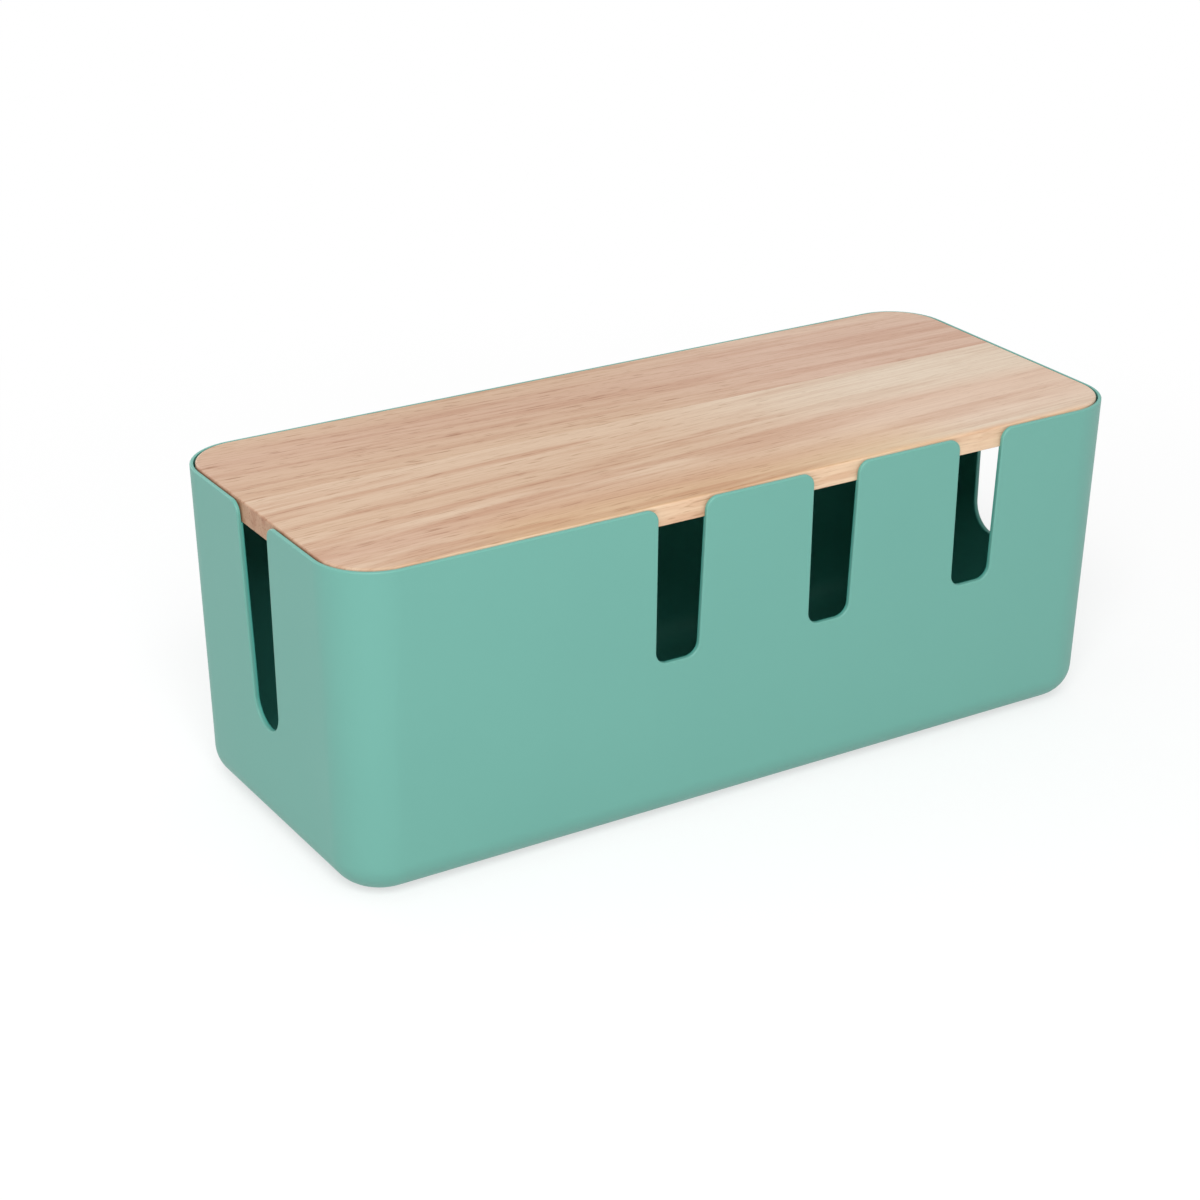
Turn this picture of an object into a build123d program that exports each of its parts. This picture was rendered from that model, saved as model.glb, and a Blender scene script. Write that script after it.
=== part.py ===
from build123d import *

import os
from math import tan, radians

# Cable management box: a moulded tub with cable slots, and a wooden lid that lifts off.
#
# The origin is on the surface that the box stands on, below the middle of the tub.
# +X runs along the box to the right, +Y away from the wall with the row of slots, and +Z up.
# Lengths are in millimetres and angles in degrees.

# Tub, measured at its rim, where it is widest
tub_length = 305.0
tub_width = 125.0
tub_height = 114.1
rim_corner_radius = 20.6
wall_thickness = 2.0
rim_thickness = 1.2
wall_draft = 1.8
floor_thickness = 2.4
bottom_edge_radius = 11.8
cut_edge_radius = 0.5

# Cable slots, which are open at the rim, except for the right end's, which a band of the rim closes.
# Its two sides would meet the rim at its mouth width.
slot_mouth_radius = 4.3
front_slot_count = 3
front_slot_pitch = 60.3
front_slot_end_distance = 63.8
front_slot_mouth_width = 18.3
front_slot_bottom_width = 16.6
front_slot_depth = 55.3
front_slot_corner_radius = 4.7
left_slot_mouth_width = 21.4
left_slot_bottom_width = 17.3
left_slot_depth = 75.6
right_slot_mouth_width = 24.8
right_slot_bottom_width = 20.8
right_slot_depth = 71.7
right_slot_band = 8.6
right_slot_corner_radius = 4.0

# Lid: two boards glued edge to edge, let into the tub and standing a little above its rim
lid_thickness = 7.4
lid_gap = 0.7
lid_rise = 0.5
lid_top_edge_radius = 0.8
lid_bottom_chamfer = 0.2
glue_joint_y = 10.2

# Ribs in the tub's corners, which carry the lid together with the step below the thin rim
rib_thickness = 1.6
rib_depth = 4.5
rib_angles = (22.5, 67.5)
lid_seat_gap = 0.1

# Feet, which are stuck into shallow round recesses under the floor
foot_diameter = 12.0
foot_thickness = 1.6
foot_edge_radius = 0.4
foot_edge_margin = 4.5
foot_recess_depth = 0.6
foot_recess_gap = 0.2

# Values for making the cuts
cut_clearance = 5.0
largest_edge_share = 0.9
tolerance = 0.001

# Levels and places that follow from the sizes above
tub_bottom_z = foot_thickness - foot_recess_depth
rim_z = tub_bottom_z + tub_height
lid_top_z = rim_z + lid_rise
lid_bottom_z = lid_top_z - lid_thickness
lid_seat_z = lid_bottom_z - lid_seat_gap
bottom_inset = tub_height * tan(radians(wall_draft))
flat_floor_length = tub_length - 2 * (bottom_inset + bottom_edge_radius)
flat_floor_width = tub_width - 2 * (bottom_inset + bottom_edge_radius)
foot_x = flat_floor_length / 2 - foot_edge_margin - foot_diameter / 2
foot_y = flat_floor_width / 2 - foot_edge_margin - foot_diameter / 2
corners = {
    "front_left": (-1, -1),
    "front_right": (1, -1),
    "back_left": (-1, 1),
    "back_right": (1, 1),
}


def tub_form(inset, floor):
    """Solid with the tub's shape, its walls stepped in by inset and its underside raised by floor."""
    height = tub_height - floor
    corner_radius = rim_corner_radius - inset
    outline = RectangleRounded(tub_length - 2 * inset, tub_width - 2 * inset, corner_radius)
    form = extrude(Pos(0, 0, rim_z) * outline, amount=height, dir=(0, 0, -1), taper=wall_draft)
    bottom_corner_radius = corner_radius - height * tan(radians(wall_draft))
    edge_radius = min(bottom_edge_radius - inset, largest_edge_share * bottom_corner_radius)
    return fillet(form.edges().group_by(Axis.Z)[0], edge_radius)


def slot_outline(mouth_width, bottom_width, depth, corner_radius):
    """Slot seen square on, with the middle of its mouth at the origin and its bottom towards -Y."""
    corner_x = bottom_width / 2 - corner_radius
    corner_y = corner_radius - depth
    mouth = Line((-mouth_width / 2, 0), (mouth_width / 2, 0))
    rounds = [Pos(x, corner_y) * Circle(corner_radius) for x in sorted({-corner_x, corner_x})]
    body = make_hull(mouth.edges() + [edge for round_end in rounds for edge in round_end.edges()])
    return body + Pos(0, cut_clearance / 2) * Rectangle(mouth_width, cut_clearance)


def closed_below_band(outline):
    """Slot outline that stops short of the rim, with its two upper corners rounded."""
    area_below = Rectangle(tub_width, tub_height, align=(Align.CENTER, Align.MAX))
    lowered = outline & (Pos(0, -right_slot_band) * area_below)
    return fillet(lowered.vertices().group_by(Axis.Y)[-1], right_slot_corner_radius)


def slot_cutters():
    """Prisms that cut the row of slots through the front wall and one slot through each end."""
    reach = bottom_inset + wall_thickness + cut_clearance
    front_outline = slot_outline(
        front_slot_mouth_width, front_slot_bottom_width, front_slot_depth, front_slot_corner_radius
    )
    left_outline = slot_outline(
        left_slot_mouth_width, left_slot_bottom_width, left_slot_depth, left_slot_bottom_width / 2
    )
    right_outline = slot_outline(
        right_slot_mouth_width, right_slot_bottom_width, right_slot_depth, right_slot_bottom_width / 2
    )
    last_x = tub_length / 2 - front_slot_end_distance
    front_plane = Plane.XZ.offset(tub_width / 2 + cut_clearance)
    left_plane = Plane.YZ.offset(-tub_length / 2 - cut_clearance)
    right_plane = Plane.YZ.offset(tub_length / 2 + cut_clearance)
    place = Pos(0, rim_z)
    cutters = []
    for number in range(front_slot_count):
        front_place = Pos(last_x - number * front_slot_pitch, rim_z)
        cutters.append(extrude(front_plane * front_place * front_outline, amount=-(reach + cut_clearance)))
    cutters.append(extrude(left_plane * place * left_outline, amount=reach + cut_clearance))
    closed_outline = closed_below_band(right_outline)
    cutters.append(extrude(right_plane * place * closed_outline, amount=-(reach + cut_clearance)))
    return cutters


def rounded_mouths(shell):
    """Shell with each slot's two corners at the rim rounded."""
    rim_edges = shell.edges().filter_by_position(Axis.Z, rim_z - tolerance, rim_z + tolerance)
    sharp_corners = rim_edges.filter_by(lambda edge: edge.length < wall_thickness + tolerance)
    return fillet(sharp_corners, slot_mouth_radius)


def softened_cut_edges(shell, outer, cavity, cutters):
    """Shell with the rim and the slots' cut faces rounded where they meet either side of the wall."""
    skins = outer.faces() + cavity.faces()

    def bounds_cut_face(edge):
        middle = edge.position_at(0.5)
        on_skin = any(skin.distance_to(middle) < tolerance for skin in skins)
        near_rim = middle.Z > rim_z - slot_mouth_radius
        in_slot = any(cutter.distance_to(middle) < tolerance for cutter in cutters)
        return on_skin and (near_rim or in_slot)

    return fillet(shell.edges().filter_by(bounds_cut_face), cut_edge_radius)


def lid_recess():
    """Form that thins the wall beside the lid to the rim's thickness and leaves a step for the lid."""
    outline = RectangleRounded(
        tub_length - 2 * rim_thickness, tub_width - 2 * rim_thickness, rim_corner_radius - rim_thickness
    )
    return extrude(Pos(0, 0, rim_z) * outline, amount=rim_z - lid_seat_z, dir=(0, 0, -1), taper=wall_draft)


def lid_ribs(cavity):
    """Upright ribs on the inside of each corner, from the floor to just under the lid."""
    corner_x = tub_length / 2 - rim_corner_radius
    corner_y = tub_width / 2 - rim_corner_radius
    rib_length = 2 * rim_corner_radius
    rib_height = lid_seat_z - tub_bottom_z
    plate = Box(rib_length, rib_thickness, rib_height, align=(Align.MIN, Align.CENTER, Align.MIN))
    plates = []
    for side_x, side_y in corners.values():
        for angle in rib_angles:
            turn = side_x * side_y * angle + (0 if side_x > 0 else 180)
            plates.append(Pos(side_x * corner_x, side_y * corner_y, tub_bottom_z) * Rot(0, 0, turn) * plate)
    middle = tub_form(wall_thickness + rib_depth, floor_thickness)
    return [(plate & cavity) - middle for plate in plates]


def foot_recesses():
    """Short round cutters in the underside, one for each foot."""
    cutter = Cylinder(
        foot_diameter / 2 + foot_recess_gap,
        foot_recess_depth,
        align=(Align.CENTER, Align.CENTER, Align.MIN),
    )
    return [Pos(x * foot_x, y * foot_y, tub_bottom_z) * cutter for x, y in corners.values()]


def make_tub():
    """The moulded tub with its slots, lid recess, lid ribs and foot recesses."""
    outer = tub_form(0, 0)
    cavity = tub_form(wall_thickness, floor_thickness)
    cutters = slot_cutters()
    shell = outer - cavity
    for cutter in cutters:
        shell -= cutter
    shell = rounded_mouths(shell)
    shell = softened_cut_edges(shell, outer, cavity, cutters)
    shell -= lid_recess()
    for rib in lid_ribs(cavity):
        shell += rib
    for recess in foot_recesses():
        shell -= recess
    return shell


def make_lid():
    """The lid's front and back boards, cut from one outline along the glue joint."""
    inset = rim_thickness + lid_gap
    length = tub_length - 2 * inset
    width = tub_width - 2 * inset
    outline = RectangleRounded(length, width, rim_corner_radius - inset)
    lid = extrude(Pos(0, 0, lid_bottom_z) * outline, amount=lid_thickness)
    lid = fillet(lid.edges().group_by(Axis.Z)[-1], lid_top_edge_radius)
    lid = chamfer(lid.edges().group_by(Axis.Z)[0], lid_bottom_chamfer)
    joint = Plane.XZ.offset(-glue_joint_y)
    front = split(lid, bisect_by=joint, keep=Keep.TOP)
    back = split(lid, bisect_by=joint, keep=Keep.BOTTOM)
    return front, back


def make_foot():
    """One round foot, standing on the origin."""
    foot = Cylinder(foot_diameter / 2, foot_thickness, align=(Align.CENTER, Align.CENTER, Align.MIN))
    return fillet(foot.edges().group_by(Axis.Z)[0], foot_edge_radius)


def make_nodes():
    """Every piece of the box by its name."""
    lid_front_board, lid_back_board = make_lid()
    nodes = {
        "tub": make_tub(),
        "lid_front_board": lid_front_board,
        "lid_back_board": lid_back_board,
    }
    foot = make_foot()
    for name, (side_x, side_y) in corners.items():
        nodes[f"foot_{name}"] = Pos(side_x * foot_x, side_y * foot_y, 0) * foot
    return nodes


os.makedirs("parts", exist_ok=True)
for node, shape in make_nodes().items():
    export_step(shape, f"parts/{node}.step")
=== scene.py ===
from math import cos, hypot, pi, radians, sin, tan

import bmesh
import bpy
from mathutils import Matrix, Vector


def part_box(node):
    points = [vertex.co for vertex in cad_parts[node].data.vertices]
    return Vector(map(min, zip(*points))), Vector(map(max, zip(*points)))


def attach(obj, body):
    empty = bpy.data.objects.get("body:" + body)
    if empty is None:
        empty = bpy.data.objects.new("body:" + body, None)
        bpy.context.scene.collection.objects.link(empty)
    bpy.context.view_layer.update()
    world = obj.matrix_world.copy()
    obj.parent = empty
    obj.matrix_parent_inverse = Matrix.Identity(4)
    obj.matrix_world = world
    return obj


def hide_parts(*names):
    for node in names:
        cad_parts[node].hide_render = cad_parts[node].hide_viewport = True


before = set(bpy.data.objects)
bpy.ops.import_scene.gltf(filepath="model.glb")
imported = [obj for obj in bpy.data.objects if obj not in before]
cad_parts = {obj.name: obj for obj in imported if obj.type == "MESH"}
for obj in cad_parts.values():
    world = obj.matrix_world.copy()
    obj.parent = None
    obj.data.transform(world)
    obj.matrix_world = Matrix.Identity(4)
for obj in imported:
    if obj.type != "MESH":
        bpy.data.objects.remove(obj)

# Cable management box: a sea-green moulded tub, a lid of two glued boards, and four rubber feet.
# Lengths are in metres and angles in radians, in the frame of the box: +X along it, +Z up.
# A display colour is given as its red, green and blue from 0 to 255.

scene = bpy.context.scene
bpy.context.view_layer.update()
MM = 0.001

# Places of the CAD nodes
tub_low, tub_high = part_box("tub")
front_low, front_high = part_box("lid_front_board")
back_low, back_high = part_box("lid_back_board")
feet = [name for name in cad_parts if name.startswith("foot_")]

# Smoothing of the moulded and milled pieces
MERGE_DISTANCE = 0.002 * MM
SHARP_ANGLE = radians(48)

# Tub: the sizes that its outer skin follows, and how deep below that skin its inside, which is given a
# painted shade, begins and is full
CORNER_RADIUS = 20.6 * MM
BOTTOM_EDGE_RADIUS = 11.8 * MM
WALL_DRAFT = radians(1.8)
INSIDE_BEGINS = 0.9 * MM
INSIDE_FULL = 1.6 * MM

# Plastic: display colours, the last a painted shade of deeper green for the tub's inside, and the
# roughness from its smoother to its rougher places
SEA_GREEN = (104, 165, 153)
PALE_SEA_GREEN = (108, 169, 156)
SHADED_INSIDE_GREEN = (72, 164, 150)
PLASTIC_ROUGHNESS = (0.44, 0.5)

# Rubber: display colours, and its roughness
BLACK = (30, 30, 31)
WORN_BLACK = (44, 44, 45)
RUBBER_ROUGHNESS = (0.72, 0.85)

# The slow drift of tone in a moulding, between which the roughness changes
DRIFT_LEVELS = (0.3, 0.7)

# Feet: half section from the middle of the top round to the middle of the sole, as shares of the way along
# it, of the foot's radius and of its height
FOOT_SECTION = (
    (0.0, 0.0, 1.0),
    (0.2, 0.98, 1.0),
    (0.25, 1.0, 0.95),
    (0.45, 1.0, 0.25),
    (0.5, 0.98, 0.08),
    (0.55, 0.93, 0.0),
    (0.7, 0.68, 0.0),
    (0.725, 0.66, 0.1),
    (0.775, 0.56, 0.1),
    (0.8, 0.54, 0.0),
    (1.0, 0.0, 0.0),
)
FOOT_SECTION_STEPS = 40
FOOT_SEGMENTS = 64

# Wood: display colours of its bands
CREAM = (220, 202, 181)
SAND = (219, 195, 174)
ROSE_SAND = (216, 188, 166)
ROSE_TAN = (208, 176, 155)
PALE_TAN = (212, 185, 159)
TAN = (204, 173, 145)
BROWN_TAN = (200, 165, 140)
PALE_EDGE = (216, 189, 167)
WARM_EDGE = (229, 199, 168)

# Wood: bands across each board as (Y, display colour) from its front edge to its back edge, at the lid's
# left end and at its right end, and the stretch of X in which the first turn into the second
GLUE_JOINT_Y = back_low.y
FRONT_BOARD_LEFT_BANDS = (
    (front_low.y, TAN),
    (-57 * MM, PALE_TAN),
    (-46 * MM, BROWN_TAN),
    (-33 * MM, PALE_TAN),
    (-24 * MM, TAN),
    (GLUE_JOINT_Y, PALE_TAN),
)
FRONT_BOARD_RIGHT_BANDS = (
    (front_low.y, WARM_EDGE),
    (-57 * MM, CREAM),
    (-48 * MM, SAND),
    (-24 * MM, ROSE_SAND),
    (-12 * MM, CREAM),
    (GLUE_JOINT_Y, CREAM),
)
BACK_BOARD_LEFT_BANDS = (
    (GLUE_JOINT_Y, TAN),
    (42 * MM, BROWN_TAN),
    (back_high.y, TAN),
)
BACK_BOARD_RIGHT_BANDS = (
    (GLUE_JOINT_Y, ROSE_TAN),
    (46 * MM, ROSE_TAN),
    (back_high.y, PALE_EDGE),
)
BAND_CHANGE = (-20 * MM, 90 * MM)

# Wood: display colours that its features multiply by, how strongly, and the levels of their noise between
# which they set in
STREAK_TINT = (236, 220, 212)
STREAK_LEVELS = (0.46, 0.64)
FIBRE_TINT = (232, 218, 208)
FIBRE_LEVELS = (0.35, 0.7)
FIBRE_SHARE = 0.42
FIBRE_RELIEF = 0.3
PORE_TINT = (182, 152, 128)
PORE_LEVELS = (0.6, 0.76)
DASH_LEVELS = (0.6, 0.72)
PORES_TO_DASHES = 0.5
DASHES_LOST_AT_RIGHT = 0.6
WOOD_ROUGHNESS = (0.52, 0.68)

# Wood: a golden tone along the middle of the lid's front, partly the wood's own warmth and partly a
# painted warm shadow of a phone that lay there, and where it fades to the left, right and back
GOLDEN_AND_SHADE_TINT = (250, 242, 226)
GOLDEN_AND_SHADE_LEFT = (-120 * MM, -80 * MM)
GOLDEN_AND_SHADE_RIGHT = (50 * MM, 100 * MM)
GOLDEN_AND_SHADE_BACK = (-54 * MM, -30 * MM)

# Wood: how far the front edge's own tone and the end grain reach into the lid
FRONT_EDGE_DEPTH = 0.5 * MM
END_GRAIN_DEPTH = 0.7 * MM
END_GRAIN_FULL_DEPTH = 0.07 * MM
END_GRAIN_TINT = (218, 196, 184)
END_GRAIN_SHARE = 0.8

# Studio: the floor's colours where it is seen and where it only sends light on, the world's light, the
# floor's size, the distances between which it turns plain white, and how much of it is so beside the box
WHITE = (1.0, 1.0, 1.0, 1.0)
PALE_GREY = (0.8, 0.8, 0.8, 1.0)
WORLD_STRENGTH = 0.56
FLOOR_SIZE = 6.0
FLOOR_FADE = (0.2, 0.5)
FLOOR_WHITE_BESIDE_BOX = 0.65

# Camera
CAMERA_PLACE = Vector((-0.4815, -0.7322, 0.443))
CAMERA_YAW = 0.5587
CAMERA_PITCH = 0.4213
CAMERA_ROLL = 0.0061
CAMERA_LENS = 82.74
SENSOR_WIDTH = 36.0


# Node helpers

def put(tree, kind, inputs=None, **settings):
    """Adds a node, sets its properties, and sets or links its inputs, given by name or number."""
    node = tree.nodes.new(kind)
    for name, value in settings.items():
        setattr(node, name, value)
    for key, value in (inputs or {}).items():
        if isinstance(value, bpy.types.NodeSocket):
            tree.links.new(value, node.inputs[key])
        else:
            node.inputs[key].default_value = value
    return node


def calc(tree, operation, *values, clamp=False):
    """Output of a Math node."""
    inputs = dict(enumerate(values))
    return put(tree, "ShaderNodeMath", inputs, operation=operation, use_clamp=clamp).outputs[0]


def blend_colors(tree, factor, first, second, mode="MIX"):
    """Output of a colour Mix node, whose colour sockets are numbers 6 and 7."""
    inputs = {0: factor, 6: first, 7: second}
    return put(tree, "ShaderNodeMix", inputs, data_type="RGBA", blend_type=mode).outputs[2]


def spread(tree, value, low, high, new_low=0.0, new_high=1.0):
    """Output of a smooth Map Range node."""
    inputs = {0: value, 1: low, 2: high, 3: new_low, 4: new_high}
    return put(tree, "ShaderNodeMapRange", inputs, interpolation_type="SMOOTHSTEP").outputs[0]


def color(*levels):
    """Scene colour of a display colour, by the sRGB curve."""
    linear = [((c / 255 + 0.055) / 1.055) ** 2.4 if c > 10 else c / 3294.6 for c in levels]
    return (*linear, 1.0)


def new_group(name, sockets):
    """Empty shader node group. sockets lists (name, "INPUT" or "OUTPUT", type, default)."""
    group = bpy.data.node_groups.new(name, "ShaderNodeTree")
    for label, side, kind, default in sockets:
        socket = group.interface.new_socket(name=label, in_out=side, socket_type="NodeSocket" + kind)
        if default is not None:
            socket.default_value = default
    return group, group.nodes.new("NodeGroupInput").outputs, group.nodes.new("NodeGroupOutput")


def new_material(name):
    """Material with only a Principled shader and its output."""
    material = bpy.data.materials.new(name)
    material.use_nodes = True
    return material, material.node_tree, material.node_tree.nodes["Principled BSDF"]


def seen_rays(tree):
    """1 for rays that show a surface to the camera, directly, in gloss or through glass, else 0."""
    rays = put(tree, "ShaderNodeLightPath").outputs
    seen = calc(tree, "ADD", rays["Is Camera Ray"], rays["Is Glossy Ray"])
    return calc(tree, "ADD", seen, rays["Is Transmission Ray"], clamp=True)


# Shader groups that more than one material uses

def make_skin_group():
    """Fine uneven surface of a moulding: a grainy height and a slow drift of tone."""
    group, given, result = new_group("moulded_skin", [
        ("Vector", "INPUT", "Vector", None),
        ("Grain Size", "INPUT", "Float", 0.4 * MM),
        ("Drift Size", "INPUT", "Float", 60 * MM),
        ("Height", "OUTPUT", "Float", None),
        ("Drift", "OUTPUT", "Float", None),
    ])
    grain_scale = calc(group, "DIVIDE", 1.0, given["Grain Size"])
    drift_scale = calc(group, "DIVIDE", 1.0, given["Drift Size"])
    place = given["Vector"]
    grain = put(group, "ShaderNodeTexNoise", {"Vector": place, "Scale": grain_scale, "Detail": 2.0})
    drift = put(group, "ShaderNodeTexNoise", {"Vector": place, "Scale": drift_scale, "Detail": 1.0})
    group.links.new(grain.outputs["Fac"], result.inputs["Height"])
    group.links.new(drift.outputs["Fac"], result.inputs["Drift"])
    return group


def make_grain_group():
    """Grain along a board: where a point lies across it, and its streaks, fibres, pores and dashes."""
    group, given, result = new_group("board_grain", [
        ("Vector", "INPUT", "Vector", None),
        ("Grain Angle", "INPUT", "Float", 0.0),
        ("Band Slope", "INPUT", "Float", 0.01),
        ("Streak Width", "INPUT", "Float", 5 * MM),
        ("Wander", "INPUT", "Float", 3 * MM),
        ("Seed", "INPUT", "Float", 0.0),
        ("Across", "OUTPUT", "Float", None),
        ("Streaks", "OUTPUT", "Float", None),
        ("Fibres", "OUTPUT", "Float", None),
        ("Pores", "OUTPUT", "Float", None),
        ("Dashes", "OUTPUT", "Float", None),
    ])
    turn = {"Vector": given["Vector"], "Angle": given["Grain Angle"]}
    turned = put(group, "ShaderNodeVectorRotate", turn, rotation_type="Z_AXIS").outputs[0]
    seed = given["Seed"]
    seeded = put(group, "ShaderNodeCombineXYZ", {0: seed, 1: seed, 2: seed}).outputs[0]

    def noise(along, across, detail, roughness=0.5, distortion=0.0):
        """Noise that repeats so many times a metre along the grain and across it."""
        scale = put(group, "ShaderNodeCombineXYZ", {0: along, 1: across, 2: across}).outputs[0]
        sides = {0: turned, 1: scale}
        stretched = put(group, "ShaderNodeVectorMath", sides, operation="MULTIPLY").outputs[0]
        terms = {0: stretched, 1: seeded}
        moved = put(group, "ShaderNodeVectorMath", terms, operation="ADD").outputs[0]
        return put(group, "ShaderNodeTexNoise", {
            "Vector": moved,
            "Scale": 1.0,
            "Detail": detail,
            "Roughness": roughness,
            "Distortion": distortion,
        }).outputs["Fac"]

    sway = calc(group, "SUBTRACT", noise(along=9.0, across=30.0, detail=2.0), 0.5)
    wander = calc(group, "MULTIPLY", sway, calc(group, "MULTIPLY", given["Wander"], 2.0))
    axes = put(group, "ShaderNodeSeparateXYZ", {0: given["Vector"]}).outputs
    drift = calc(group, "MULTIPLY", axes[0], given["Band Slope"])
    streak_scale = calc(group, "DIVIDE", 1.0, given["Streak Width"])
    streaks = noise(along=9.0, across=streak_scale, detail=3.0, roughness=0.55, distortion=0.4)
    fibres = noise(along=24.0, across=1100.0, detail=2.0, roughness=0.6)
    pores = noise(along=240.0, across=3000.0, detail=1.0)
    dashes = noise(along=85.0, across=1150.0, detail=1.0)
    across = calc(group, "ADD", calc(group, "ADD", axes[1], wander), drift)
    group.links.new(across, result.inputs["Across"])
    group.links.new(streaks, result.inputs["Streaks"])
    group.links.new(fibres, result.inputs["Fibres"])
    group.links.new(spread(group, pores, *PORE_LEVELS), result.inputs["Pores"])
    group.links.new(spread(group, dashes, *DASH_LEVELS), result.inputs["Dashes"])
    return group


skin_group = make_skin_group()
grain_group = make_grain_group()


# Materials

def make_tub_plastic():
    """Satin sea-green plastic with a fine eroded texture, and a painted shade of deeper green on the tub's
    inside.
    """
    material, tree, shader = new_material("tub_plastic")
    place = put(tree, "ShaderNodeTexCoord").outputs["Object"]
    skin = put(tree, "ShaderNodeGroup", {"Vector": place}, node_tree=skin_group)
    outer = blend_colors(tree, skin.outputs["Drift"], color(*SEA_GREEN), color(*PALE_SEA_GREEN))
    # The inside is painted a deeper, darker green as shade, where the walls keep the light out
    inside = put(tree, "ShaderNodeAttribute", attribute_name="inside").outputs["Fac"]
    base = blend_colors(tree, inside, outer, color(*SHADED_INSIDE_GREEN))
    tree.links.new(base, shader.inputs["Base Color"])
    height = skin.outputs["Height"]
    bump = put(tree, "ShaderNodeBump", {"Strength": 0.12, "Distance": 0.03 * MM, "Height": height})
    tree.links.new(bump.outputs[0], shader.inputs["Normal"])
    rough = spread(tree, skin.outputs["Drift"], *DRIFT_LEVELS, *PLASTIC_ROUGHNESS)
    tree.links.new(rough, shader.inputs["Roughness"])
    shader.inputs["IOR"].default_value = 1.42
    return material


def band_ramp(tree, across, bands):
    """Colour across a board, whose bands are given as (Y, display colour)."""
    low, high = bands[0][0], bands[-1][0]
    share = put(tree, "ShaderNodeMapRange", {0: across, 1: low, 2: high}).outputs[0]
    ramp = put(tree, "ShaderNodeValToRGB", {0: share})
    stops = ramp.color_ramp.elements
    while len(stops) < len(bands):
        stops.new(0.5)
    for stop, (at, tone) in zip(stops, bands):
        stop.position = (at - low) / (high - low)
        stop.color = color(*tone)
    return ramp.outputs[0]


def make_board_wood(name, left_bands, right_bands, grain, streak_shares, dash_share):
    """Pale hardwood whose bands and streaks change from the lid's left end to its right end."""
    material, tree, shader = new_material(name)
    place = put(tree, "ShaderNodeTexCoord").outputs["Object"]
    settings = {"Vector": place, **grain}
    pattern = put(tree, "ShaderNodeGroup", settings, node_tree=grain_group).outputs
    along, forth = put(tree, "ShaderNodeSeparateXYZ", {0: place}).outputs[:2]

    def darken(under, mask, share, tone):
        """Colour under it multiplied by a tone, as far as the mask and the share go."""
        amount = calc(tree, "MULTIPLY", mask, share)
        multiplied = blend_colors(tree, 1.0, under, color(*tone), "MULTIPLY")
        return blend_colors(tree, amount, under, multiplied)

    # Bands, and the golden tone along the front, partly the wood's own warmth and partly a painted warm
    # shadow
    to_right = spread(tree, along, *BAND_CHANGE)
    left_tone = band_ramp(tree, pattern["Across"], left_bands)
    right_tone = band_ramp(tree, pattern["Across"], right_bands)
    base = blend_colors(tree, to_right, left_tone, right_tone)
    # Golden tone: the front strip multiplied warmer and darker, partly as painted shadow
    golden_shade_from_left = spread(tree, along, *GOLDEN_AND_SHADE_LEFT)
    golden_shade_to_right = spread(tree, along, *GOLDEN_AND_SHADE_RIGHT, 1.0, 0.0)
    golden_shade_to_back = spread(tree, forth, *GOLDEN_AND_SHADE_BACK, 1.0, 0.0)
    golden_shade_along = calc(tree, "MULTIPLY", golden_shade_from_left, golden_shade_to_right)
    base = darken(base, golden_shade_along, golden_shade_to_back, GOLDEN_AND_SHADE_TINT)
    front_edge = spread(tree, forth, front_low.y, front_low.y + FRONT_EDGE_DEPTH, 1.0, 0.0)
    base = blend_colors(tree, front_edge, base, color(*WARM_EDGE))

    # Streaks, fibres, dashes and pores
    streak_share = spread(tree, to_right, 0.0, 1.0, *streak_shares)
    base = darken(base, spread(tree, pattern["Streaks"], *STREAK_LEVELS), streak_share, STREAK_TINT)
    base = darken(base, spread(tree, pattern["Fibres"], *FIBRE_LEVELS), FIBRE_SHARE, FIBRE_TINT)
    more_at_left = calc(tree, "SUBTRACT", 1.0, calc(tree, "MULTIPLY", to_right, DASHES_LOST_AT_RIGHT))
    dashes = calc(tree, "MULTIPLY", pattern["Dashes"], more_at_left)
    base = darken(base, dashes, dash_share, PORE_TINT)
    base = darken(base, pattern["Pores"], PORES_TO_DASHES * dash_share, PORE_TINT)

    # End grain
    to_end = calc(tree, "ABSOLUTE", along)
    end_x = front_high.x
    end_grain = spread(tree, to_end, end_x - END_GRAIN_DEPTH, end_x - END_GRAIN_FULL_DEPTH)
    base = darken(base, end_grain, END_GRAIN_SHARE, END_GRAIN_TINT)
    tree.links.new(base, shader.inputs["Base Color"])

    # Relief and gloss
    hollows = calc(tree, "ADD", pattern["Pores"], dashes)
    ridges = calc(tree, "MULTIPLY", pattern["Fibres"], FIBRE_RELIEF)
    height = calc(tree, "SUBTRACT", ridges, hollows)
    bump = put(tree, "ShaderNodeBump", {"Strength": 0.25, "Distance": 0.04 * MM, "Height": height})
    tree.links.new(bump.outputs[0], shader.inputs["Normal"])
    tree.links.new(spread(tree, hollows, 0.0, 1.0, *WOOD_ROUGHNESS), shader.inputs["Roughness"])
    shader.inputs["IOR"].default_value = 1.4
    return material


def make_foot_rubber():
    """Matt black rubber."""
    material, tree, shader = new_material("foot_rubber")
    place = put(tree, "ShaderNodeTexCoord").outputs["Object"]
    settings = {"Vector": place, "Grain Size": 0.25 * MM, "Drift Size": 8 * MM}
    skin = put(tree, "ShaderNodeGroup", settings, node_tree=skin_group)
    base = blend_colors(tree, skin.outputs["Drift"], color(*BLACK), color(*WORN_BLACK))
    tree.links.new(base, shader.inputs["Base Color"])
    height = skin.outputs["Height"]
    bump = put(tree, "ShaderNodeBump", {"Strength": 0.3, "Distance": 0.05 * MM, "Height": height})
    tree.links.new(bump.outputs[0], shader.inputs["Normal"])
    rough = spread(tree, skin.outputs["Drift"], *DRIFT_LEVELS, *RUBBER_ROUGHNESS)
    tree.links.new(rough, shader.inputs["Roughness"])
    return material


# Pieces

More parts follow.
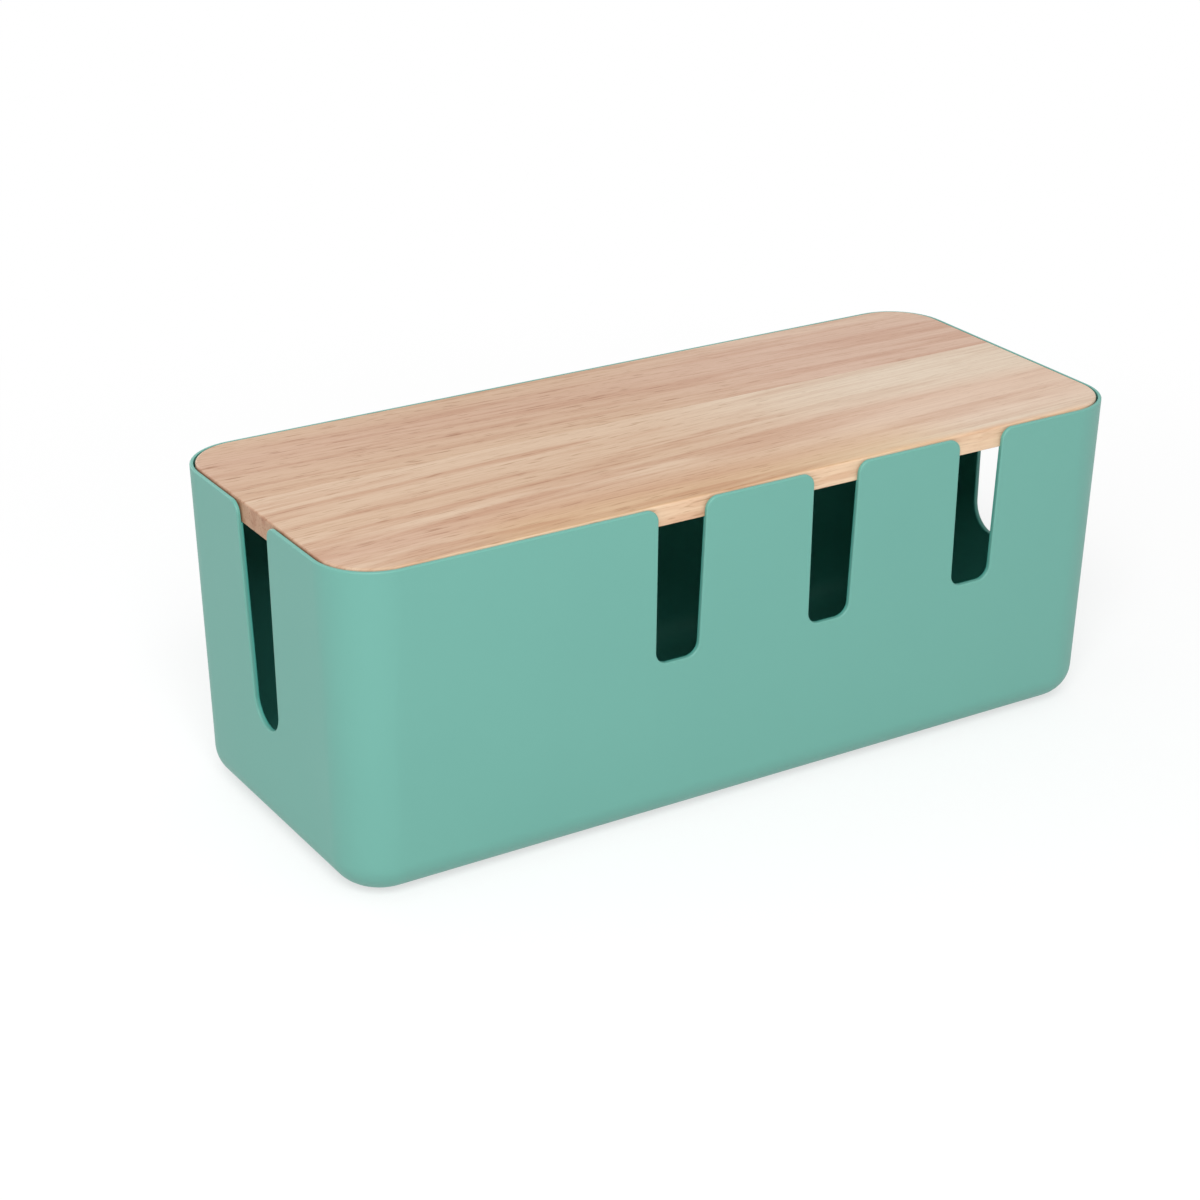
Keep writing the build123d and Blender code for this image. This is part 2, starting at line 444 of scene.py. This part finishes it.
def smooth_copy(node, name, material):
    """Copy of a CAD node with its faces joined and its rounds shaded smooth, which stands for it."""
    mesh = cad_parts[node].data.copy()
    mesh.name = name
    edit = bmesh.new()
    edit.from_mesh(mesh)
    bmesh.ops.remove_doubles(edit, verts=edit.verts, dist=MERGE_DISTANCE)
    edit.to_mesh(mesh)
    edit.free()
    mesh.attributes.remove(mesh.attributes["custom_normal"])
    mesh.shade_smooth()
    mesh.set_sharp_from_angle(angle=SHARP_ANGLE)
    mesh.materials.clear()
    mesh.materials.append(material)
    piece = bpy.data.objects.new(name, mesh)
    scene.collection.objects.link(piece)
    normals = piece.modifiers.new("even_normals", "WEIGHTED_NORMAL")
    normals.keep_sharp = True
    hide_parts(node)
    return piece


def depth_below_skin(place):
    """How deep a point of the tub lies below its outer skin."""
    draft_inset = (tub_high.z - place.z) * tan(WALL_DRAFT)
    across_x = max(abs(place.x) - tub_high.x + CORNER_RADIUS, 0.0)
    across_y = max(abs(place.y) - tub_high.y + CORNER_RADIUS, 0.0)
    below_wall = CORNER_RADIUS - draft_inset - hypot(across_x, across_y)
    above_underside = place.z - tub_low.z
    to_wall = max(BOTTOM_EDGE_RADIUS - below_wall, 0.0)
    to_underside = max(BOTTOM_EDGE_RADIUS - above_underside, 0.0)
    return BOTTOM_EDGE_RADIUS - hypot(to_wall, to_underside)


def mark_inside(mesh):
    """Point attribute that goes from 0 on the tub's outer skin to 1 on its inside, where the plastic gets
    a painted shade.
    """
    marks = mesh.attributes.new("inside", "FLOAT", "POINT").data
    for vertex, mark in zip(mesh.vertices, marks):
        share = (depth_below_skin(vertex.co) - INSIDE_BEGINS) / (INSIDE_FULL - INSIDE_BEGINS)
        mark.value = min(max(share, 0.0), 1.0)


def make_tub():
    """The moulded tub."""
    piece = smooth_copy("tub", "moulded_tub", make_tub_plastic())
    mark_inside(piece.data)
    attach(piece, "tub")


def make_lid():
    """The lid's two boards, each with grain of its own."""
    front_wood = make_board_wood(
        "front_board_wood", FRONT_BOARD_LEFT_BANDS, FRONT_BOARD_RIGHT_BANDS,
        grain={"Grain Angle": radians(-2.5), "Streak Width": 8 * MM, "Seed": 0.0},
        streak_shares=(1.0, 0.55), dash_share=0.4,
    )
    back_wood = make_board_wood(
        "back_board_wood", BACK_BOARD_LEFT_BANDS, BACK_BOARD_RIGHT_BANDS,
        grain={"Grain Angle": radians(1.5), "Streak Width": 5 * MM, "Seed": 5.0},
        streak_shares=(0.65, 0.65), dash_share=0.5,
    )
    for node, name, wood in (
        ("lid_front_board", "front_board", front_wood),
        ("lid_back_board", "back_board", back_wood),
    ):
        piece = smooth_copy(node, name, wood)
        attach(piece, "lid")


def section_curve(tree, share, column):
    """Output of a Float Curve node that follows one column of the foot's half section."""
    node = put(tree, "ShaderNodeFloatCurve", {"Value": share})
    points = node.mapping.curves[0].points
    while len(points) < len(FOOT_SECTION):
        points.new(0.5, 0.5)
    for point, row in zip(points, FOOT_SECTION):
        point.location = (row[0], row[column])
        point.handle_type = "VECTOR"
    node.mapping.update()
    return node.outputs[0]


def make_feet_tree(material):
    """Geometry Nodes tree that turns one foot from its half section and sets a foot at each corner."""
    tree = bpy.data.node_groups.new("turned_feet", "GeometryNodeTree")
    for label, kind, default in (
        ("Foot Radius", "Float", 6 * MM),
        ("Foot Height", "Float", 1.6 * MM),
        ("Spacing X", "Float", 250 * MM),
        ("Spacing Y", "Float", 75 * MM),
        ("Segments", "Int", FOOT_SEGMENTS),
    ):
        socket = tree.interface.new_socket(name=label, in_out="INPUT", socket_type="NodeSocket" + kind)
        socket.default_value = default
    tree.interface.new_socket(name="Geometry", in_out="OUTPUT", socket_type="NodeSocketGeometry")
    given = tree.nodes.new("NodeGroupInput").outputs
    result = tree.nodes.new("NodeGroupOutput")

    # A square sheet, whose first side becomes the half section and whose second side becomes the turn
    rows = calc(tree, "ADD", given["Segments"], 1.0)
    sheet = put(tree, "GeometryNodeMeshGrid", {
        "Size X": 1.0, "Size Y": 1.0, "Vertices X": FOOT_SECTION_STEPS + 1, "Vertices Y": rows,
    }).outputs["Mesh"]
    position = put(tree, "GeometryNodeInputPosition").outputs[0]
    axes = put(tree, "ShaderNodeSeparateXYZ", {0: position}).outputs
    share = calc(tree, "ADD", axes[0], 0.5)
    turn = calc(tree, "MULTIPLY", calc(tree, "ADD", axes[1], 0.5), 2 * pi)
    radius = calc(tree, "MULTIPLY", section_curve(tree, share, 1), given["Foot Radius"])
    height = calc(tree, "MULTIPLY", section_curve(tree, share, 2), given["Foot Height"])
    place = put(tree, "ShaderNodeCombineXYZ", {
        0: calc(tree, "MULTIPLY", radius, calc(tree, "COSINE", turn)),
        1: calc(tree, "MULTIPLY", radius, calc(tree, "SINE", turn)),
        2: height,
    }).outputs[0]
    turned = put(tree, "GeometryNodeSetPosition", {"Geometry": sheet, "Position": place}).outputs[0]
    closing = {"Geometry": turned, "Distance": MERGE_DISTANCE}
    foot = put(tree, "GeometryNodeMergeByDistance", closing).outputs[0]

    # One foot on each corner of a rectangle
    places = put(tree, "GeometryNodeMeshGrid", {
        "Size X": given["Spacing X"], "Size Y": given["Spacing Y"], "Vertices X": 2, "Vertices Y": 2,
    }).outputs["Mesh"]
    copies = put(tree, "GeometryNodeInstanceOnPoints", {"Points": places, "Instance": foot}).outputs[0]
    real = put(tree, "GeometryNodeRealizeInstances", {"Geometry": copies}).outputs[0]
    coated = put(tree, "GeometryNodeSetMaterial", {"Geometry": real, "Material": material}).outputs[0]
    tree.links.new(coated, result.inputs["Geometry"])
    return tree


def make_feet():
    """The four stick-on feet, each with a ring in its sole."""
    low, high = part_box(feet[0])
    middles = [sum(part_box(name), Vector()) / 2 for name in feet]
    sizes = {
        "Foot Radius": (high.x - low.x) / 2,
        "Foot Height": high.z - low.z,
        "Spacing X": max(middle.x for middle in middles) - min(middle.x for middle in middles),
        "Spacing Y": max(middle.y for middle in middles) - min(middle.y for middle in middles),
        "Segments": FOOT_SEGMENTS,
    }
    tree = make_feet_tree(make_foot_rubber())
    piece = bpy.data.objects.new("rubber_feet", bpy.data.meshes.new("empty"))
    scene.collection.objects.link(piece)
    modifier = piece.modifiers.new("turned_feet", "NODES")
    modifier.node_group = tree
    for socket in tree.interface.items_tree:
        if socket.name in sizes:
            modifier[socket.identifier] = sizes[socket.name]
    depsgraph = bpy.context.evaluated_depsgraph_get()
    mesh = bpy.data.meshes.new_from_object(piece.evaluated_get(depsgraph), depsgraph=depsgraph)
    piece.modifiers.remove(modifier)
    mesh.name = "rubber_feet"
    mesh.shade_smooth()
    mesh.set_sharp_from_angle(angle=SHARP_ANGLE)
    piece.data = mesh
    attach(piece, "tub")
    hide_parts(*feet)


# Studio

def make_floor():
    """Pale floor that keeps the box's shadow and fades to white away from it."""
    bpy.ops.mesh.primitive_plane_add(size=FLOOR_SIZE)
    floor = bpy.context.object
    floor.name = "floor"
    material, tree, shader = new_material("floor_white")
    tree.nodes.remove(shader)
    output = tree.nodes["Material Output"]
    place = put(tree, "ShaderNodeTexCoord").outputs["Object"]
    distance = put(tree, "ShaderNodeVectorMath", {0: place}, operation="LENGTH").outputs["Value"]
    share = spread(tree, distance, *FLOOR_FADE, FLOOR_WHITE_BESIDE_BOX, 1.0)
    lit = put(tree, "ShaderNodeBsdfDiffuse", {"Color": WHITE}).outputs[0]
    plain = put(tree, "ShaderNodeBsdfDiffuse", {"Color": PALE_GREY}).outputs[0]
    white = put(tree, "ShaderNodeEmission", {"Color": WHITE, "Strength": 1.0}).outputs[0]
    shown = put(tree, "ShaderNodeMixShader", {0: share, 1: lit, 2: white}).outputs[0]
    either = put(tree, "ShaderNodeMixShader", {0: seen_rays(tree), 1: plain, 2: shown}).outputs[0]
    tree.links.new(either, output.inputs["Surface"])
    floor.data.materials.append(material)


def make_world():
    """Soft white surroundings, plain white where they are seen."""
    world = bpy.data.worlds.new("studio")
    world.use_nodes = True
    scene.world = world
    tree = world.node_tree
    backdrop = tree.nodes["Background"]
    backdrop.inputs["Color"].default_value = WHITE
    strength = spread(tree, seen_rays(tree), 0.0, 1.0, WORLD_STRENGTH, 1.0)
    tree.links.new(strength, backdrop.inputs["Strength"])


def make_softbox(name, place, size, power):
    """Square area lamp that points at the middle of the box."""
    lamp = bpy.data.lights.new(name, "AREA")
    lamp.shape = "SQUARE"
    lamp.size = size
    lamp.energy = power
    holder = bpy.data.objects.new(name, lamp)
    scene.collection.objects.link(holder)
    place = Vector(place)
    target = Vector((0.0, 0.0, tub_high.z / 2))
    turn = (place - target).to_track_quat("Z", "Y").to_matrix().to_4x4()
    holder.matrix_world = Matrix.Translation(place) @ turn


def make_camera():
    """Camera in front of the box, to the left and above it."""
    forward = Vector((
        sin(CAMERA_YAW) * cos(CAMERA_PITCH),
        cos(CAMERA_YAW) * cos(CAMERA_PITCH),
        -sin(CAMERA_PITCH),
    ))
    level_right = Vector((cos(CAMERA_YAW), -sin(CAMERA_YAW), 0.0))
    level_up = level_right.cross(forward)
    right = cos(CAMERA_ROLL) * level_right + sin(CAMERA_ROLL) * level_up
    up = cos(CAMERA_ROLL) * level_up - sin(CAMERA_ROLL) * level_right
    turn = Matrix((right, up, -forward)).transposed().to_4x4()
    data = bpy.data.cameras.new("camera")
    data.lens = CAMERA_LENS
    data.sensor_width = SENSOR_WIDTH
    camera = bpy.data.objects.new("camera", data)
    camera.matrix_world = Matrix.Translation(CAMERA_PLACE) @ turn
    scene.collection.objects.link(camera)
    scene.camera = camera


make_tub()
make_lid()
make_feet()
make_floor()
make_world()
make_softbox("key", place=(-0.62, -0.96, 1.12), size=0.7, power=17.0)
make_softbox("fill", place=(-0.15, 1.4, 0.4), size=1.0, power=5.4)
make_camera()
scene.view_settings.view_transform = "Standard"
